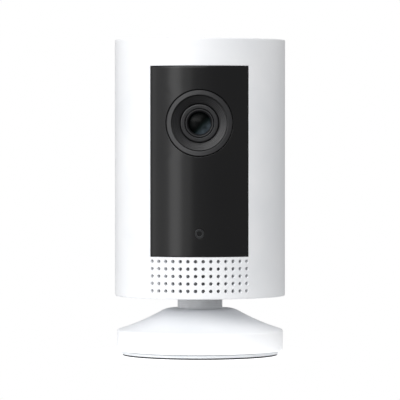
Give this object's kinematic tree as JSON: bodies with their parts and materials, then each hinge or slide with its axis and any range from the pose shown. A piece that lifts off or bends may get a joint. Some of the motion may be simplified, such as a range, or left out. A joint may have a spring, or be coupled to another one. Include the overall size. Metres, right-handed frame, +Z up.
{
  "type": "security camera",
  "caption": "Small indoor camera: upright white cylinder with a dark curved window and round lens, on a short neck that turns and tilts on a low round stand.",
  "frame": {"origin": "centre of the underside of the rubber foot ring, on the surface that the stand rests on", "axes": "+Z up along the axis of the stand, neck and head; the lens looks along -Y; +X is to the right as seen from the front"},
  "size_m": [0.046, 0.046, 0.0851],
  "materials": {
    "white_shell": "fine moulded satin",
    "neck_acetal": "fine turned rings",
    "plate_plastic": "moulded satin",
    "foot_rubber": "matte",
    "zinc_steel": "zinc plated",
    "nylon_washer": "smooth",
    "window_black": "satin gloss",
    "bezel_black": "fine matte",
    "light_pipe": "translucent",
    "circuit_board": "solder mask",
    "chip_epoxy": "matte",
    "soft_foam": "open cell",
    "barrel_metal": "black anodised",
    "lens_glass": "coated",
    "inner_black": "moulded",
    "filter_glass": "polished",
    "copper_coil": "lacquered wire",
    "heat_aluminium": "stamped",
    "led_package": "moulded",
    "ribbon_film": "film",
    "cone_film": "thin film",
    "magnet_nickel": "nickel plated",
    "dust_cloth": "woven mesh",
    "frame_plastic": "moulded"
  },
  "bodies": {
    "wall_plate": {"foot_pad": "foot_rubber", "wall_plate": "plate_plastic"},
    "base": {"base_shell": "white_shell"},
    "neck": {"neck_post": "neck_acetal", "wave_washer": "zinc_steel", "swivel_washer": "zinc_steel", "swivel_screw": "zinc_steel"},
    "ircut_slider": {"ircut_slider": "inner_black", "ircut_panes": "filter_glass"},
    "reset_button": {"reset_button": "white_shell"},
    "head": {"tilt_bracket": "zinc_steel", "tilt_pin": "zinc_steel", "tilt_nut": "zinc_steel", "friction_washers": "nylon_washer", "body_shell": "white_shell", "front_window": "window_black", "bottom_cap": "white_shell", "cap_screws": "zinc_steel", "status_light_ring": "light_pipe", "status_board": "circuit_board", "microphone": "chip_epoxy", "lens_bezel": "bezel_black", "light_baffle": "soft_foam", "lens_barrel": "barrel_metal", "lens_retaining_ring": "barrel_metal", "front_lens": "lens_glass", "middle_lens": "lens_glass", "rear_lens": "lens_glass", "lens_holder": "inner_black", "ircut_housing": "inner_black", "ircut_coil": "copper_coil", "main_board": "circuit_board", "board_screws": "zinc_steel", "image_sensor": "chip_epoxy", "board_chips": "chip_epoxy", "shield_can": "zinc_steel", "thermal_pad": "soft_foam", "heat_spreader": "heat_aluminium", "ir_led_board": "circuit_board", "ir_leds": "led_package", "power_ribbon": "ribbon_film", "led_ribbon": "ribbon_film", "speaker_frame": "inner_black", "speaker_cone": "cone_film", "speaker_magnet": "magnet_nickel", "speaker_gasket": "soft_foam", "grille_mesh": "dust_cloth", "inner_frame": "frame_plastic", "antennas": "circuit_board", "power_board": "circuit_board", "usb_socket": "zinc_steel", "reset_switch": "chip_epoxy"}
  },
  "joints": [
    {"name": "plate_twist", "type": "hinge", "parent": "wall_plate", "child": "base", "pos_m": [0, 0, 0], "axis": [0, 0, 1], "range_deg": [0, 32]},
    {"name": "pan", "type": "hinge", "parent": "base", "child": "neck", "pos_m": [0, 0, 0.0126], "axis": [0, 0, 1], "continuous": true},
    {"name": "tilt", "type": "hinge", "parent": "neck", "child": "head", "pos_m": [0, 0, 0.023], "axis": [1, 0, 0], "range_deg": [-18, 18]},
    {"name": "ircut_shift", "type": "slide", "parent": "head", "child": "ircut_slider", "axis": [1, 0, 0], "range_m": [0, 0.0062]},
    {"name": "reset_press", "type": "slide", "parent": "head", "child": "reset_button", "axis": [0, -1, 0], "range_m": [0, 0.0004], "stiffness_N_per_m": 1500, "springref_m": -0.0002}
  ]
}
